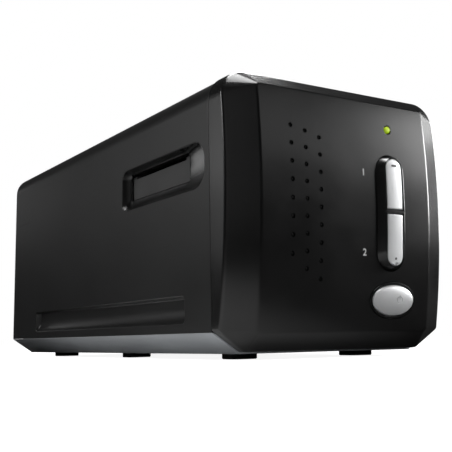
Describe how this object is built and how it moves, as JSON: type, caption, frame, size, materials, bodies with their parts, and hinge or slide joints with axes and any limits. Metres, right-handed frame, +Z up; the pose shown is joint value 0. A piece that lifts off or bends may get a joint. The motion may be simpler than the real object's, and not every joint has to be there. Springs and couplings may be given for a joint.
{
  "type": "desktop film scanner",
  "caption": "Long black desktop film scanner with a bowed front bezel, scan and power buttons, a slot with dust doors through both sides and a silver base tray on rubber feet.",
  "frame": {"origin": "on the table under the middle of the scanner, feet and buttons included", "axes": "+Z up, the front face looks along -Y, +X to the right of someone who faces the front"},
  "size_m": [0.12, 0.272, 0.1185],
  "materials": {
    "black_shell": "fine satin moulded",
    "black_gloss": "gloss moulded",
    "silver_tray": "satin metallic paint",
    "silver_button": "satin metallic paint",
    "black_rubber": "matt",
    "dark_plastic": "matt moulded",
    "grey_plastic": "matt moulded",
    "steel": "ground",
    "brass": "turned",
    "circuit_board": "lacquered",
    "light_green": "clear tinted",
    "diffuser_white": "opal",
    "mirror_glass": "front silvered"
  },
  "bodies": {
    "housing": {"outer_cover": "black_shell", "base_tray": "silver_tray", "front_bezel": "black_gloss", "rear_panel": "dark_plastic", "foot_left_front": "black_rubber", "foot_left_middle": "black_rubber", "foot_left_rear": "black_rubber", "foot_right_front": "black_rubber", "foot_right_middle": "black_rubber", "foot_right_rear": "black_rubber", "guide_rod_left": "steel", "guide_rod_right": "steel", "tray_screw_left_front": "steel", "tray_screw_left_rear": "steel", "tray_screw_right_front": "steel", "tray_screw_right_rear": "steel", "rear_screw_left": "steel", "rear_screw_right": "steel", "button_frame": "black_gloss", "power_ring": "black_gloss", "status_light_pipe": "light_green", "button_board": "circuit_board", "upper_scan_switch": "dark_plastic", "lower_scan_switch": "dark_plastic", "power_switch": "dark_plastic", "chassis_frame": "grey_plastic", "film_gate_lower": "dark_plastic", "film_gate_upper": "dark_plastic", "stepper_motor": "steel", "main_board": "circuit_board", "usb_socket": "steel", "power_socket": "dark_plastic"},
    "upper_scan": {"upper_scan_button": "silver_button"},
    "lower_scan": {"lower_scan_button": "silver_button"},
    "power": {"power_button": "silver_button"},
    "left_door": {"dust_door_left": "dark_plastic"},
    "right_door": {"dust_door_right": "dark_plastic"},
    "detent": {"detent_arm": "grey_plastic"},
    "carriage": {"carriage_frame": "grey_plastic", "lamp_housing": "dark_plastic", "lamp_diffuser": "diffuser_white", "fold_mirror": "mirror_glass", "lens_barrel": "dark_plastic", "sensor_board": "circuit_board", "drive_nut": "brass"},
    "drive": {"lead_screw": "steel"}
  },
  "joints": [
    {"name": "upper_scan_press", "type": "slide", "parent": "housing", "child": "upper_scan", "axis": [0, 1, 0], "range_m": [0, 0.0008], "stiffness_N_per_m": 2000},
    {"name": "lower_scan_press", "type": "slide", "parent": "housing", "child": "lower_scan", "axis": [0, 1, 0], "range_m": [0, 0.0008], "stiffness_N_per_m": 2000},
    {"name": "power_press", "type": "slide", "parent": "housing", "child": "power", "axis": [0, 1, 0], "range_m": [0, 0.0008], "stiffness_N_per_m": 2000},
    {"name": "left_door_swing", "type": "hinge", "parent": "housing", "child": "left_door", "pos_m": [-0.05375, -0.06185, 0.0881], "axis": [0, -1, 0], "range_deg": [0, 80], "stiffness_Nm_per_rad": 0.003},
    {"name": "right_door_swing", "type": "hinge", "parent": "housing", "child": "right_door", "pos_m": [0.05375, -0.06185, 0.0881], "axis": [0, 1, 0], "range_deg": [0, 80], "stiffness_Nm_per_rad": 0.003},
    {"name": "detent_pivot", "type": "hinge", "parent": "housing", "child": "detent", "pos_m": [0.0205, -0.08595, 0.0691], "axis": [0, 1, 0], "range_deg": [0, 8], "stiffness_Nm_per_rad": 0.3},
    {"name": "carriage_slide", "type": "slide", "parent": "housing", "child": "carriage", "axis": [0, 1, 0], "range_m": [0, 0.03]},
    {"name": "lead_screw_turn", "type": "hinge", "parent": "housing", "child": "drive", "pos_m": [0, 0, 0.0386], "axis": [0, 1, 0], "range_deg": [0, 1800]}
  ],
  "couplings": [
    {"joint": "lead_screw_turn", "follows": "carriage_slide", "rad_per_m": 1047.2}
  ]
}
